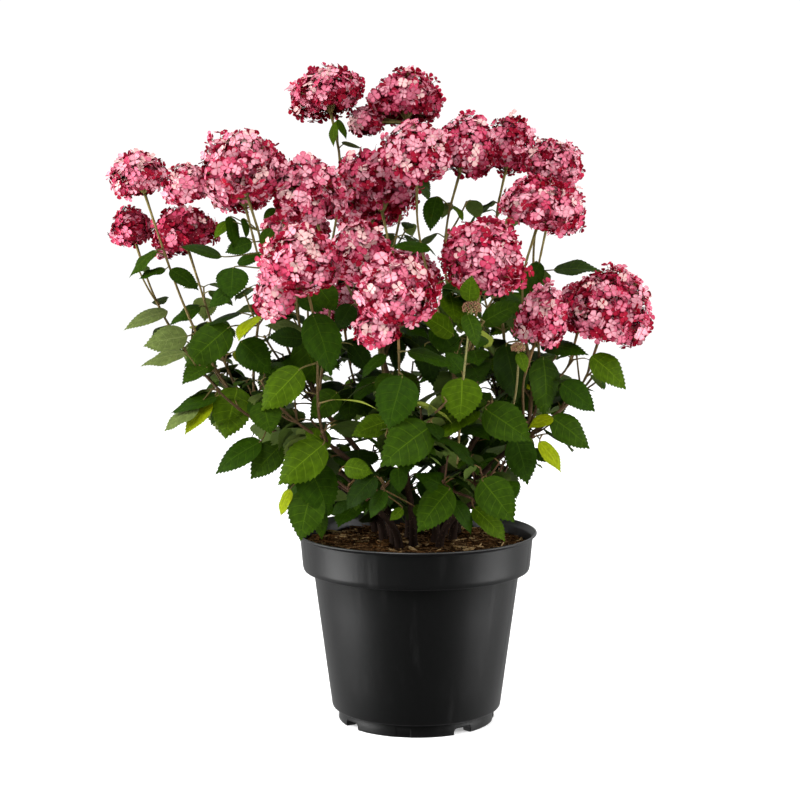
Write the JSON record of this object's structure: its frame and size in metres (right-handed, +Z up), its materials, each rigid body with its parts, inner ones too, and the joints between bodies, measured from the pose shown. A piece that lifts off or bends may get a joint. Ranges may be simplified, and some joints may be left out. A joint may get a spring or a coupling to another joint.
{
  "type": "potted hydrangea shrub",
  "caption": "Hydrangea shrub with domed pink flower heads on leafy, branching stems in a round plastic nursery pot.",
  "frame": {"origin": "centre of the pot's underside, on the ground", "axes": "+Z up along the plant's height, -Y towards the plant's front, +X to its right"},
  "size_m": [0.6209, 0.493, 0.762],
  "materials": {
    "pot_plastic": "moulded black-grey plastic with a fine satin grain",
    "potting_mix": "damp dark peat with fibres and light wood chips",
    "bark": "woody stem, brown with fine lengthwise fissures and pale pores",
    "foliage": "soft ovate leaf with a toothed edge and sunken veins",
    "blossom": "soft pink four-petalled florets, crimson underneath"
  },
  "bodies": {
    "root": {"bloom_back_1": "blossom", "bloom_back_2": "blossom", "bloom_front_1": "blossom", "bloom_front_2": "blossom", "bloom_front_left_1": "blossom", "bloom_front_left_2": "blossom", "bloom_left_1": "blossom", "bloom_left_2": "blossom", "bloom_left_3": "blossom", "bloom_left_4": "blossom", "bloom_left_back_1": "blossom", "bloom_left_back_2": "blossom", "bloom_left_back_3": "blossom", "bloom_left_back_4": "blossom", "bloom_middle_1": "blossom", "bloom_middle_2": "blossom", "bloom_middle_3": "blossom", "bloom_middle_right_1": "blossom", "bloom_middle_right_2": "blossom", "bloom_middle_right_3": "blossom", "bloom_right_1": "blossom", "bloom_right_2": "blossom", "bloom_right_3": "blossom", "bloom_right_4": "blossom", "bloom_right_back_1": "blossom", "bloom_right_back_2": "blossom", "bloom_right_back_3": "blossom", "bloom_right_back_4": "blossom", "bough_back": "bark", "bough_front": "bark", "bough_front_left": "bark", "bough_left": "bark", "bough_left_back": "bark", "bough_middle": "bark", "bough_middle_right": "bark", "bough_right": "bark", "bough_right_back": "bark", "bough_skirt_back_left": "bark", "bough_skirt_back_right": "bark", "bough_skirt_front_left": "bark", "bough_skirt_front_right": "bark", "leaves_back": "foliage", "leaves_front": "foliage", "leaves_front_left": "foliage", "leaves_left": "foliage", "leaves_left_back": "foliage", "leaves_middle": "foliage", "leaves_middle_right": "foliage", "leaves_right": "foliage", "leaves_right_back": "foliage", "leaves_skirt_back_left": "foliage", "leaves_skirt_back_right": "foliage", "leaves_skirt_front_left": "foliage", "leaves_skirt_front_right": "foliage", "pot": "pot_plastic", "soil": "potting_mix"}
  },
  "joints": []
}
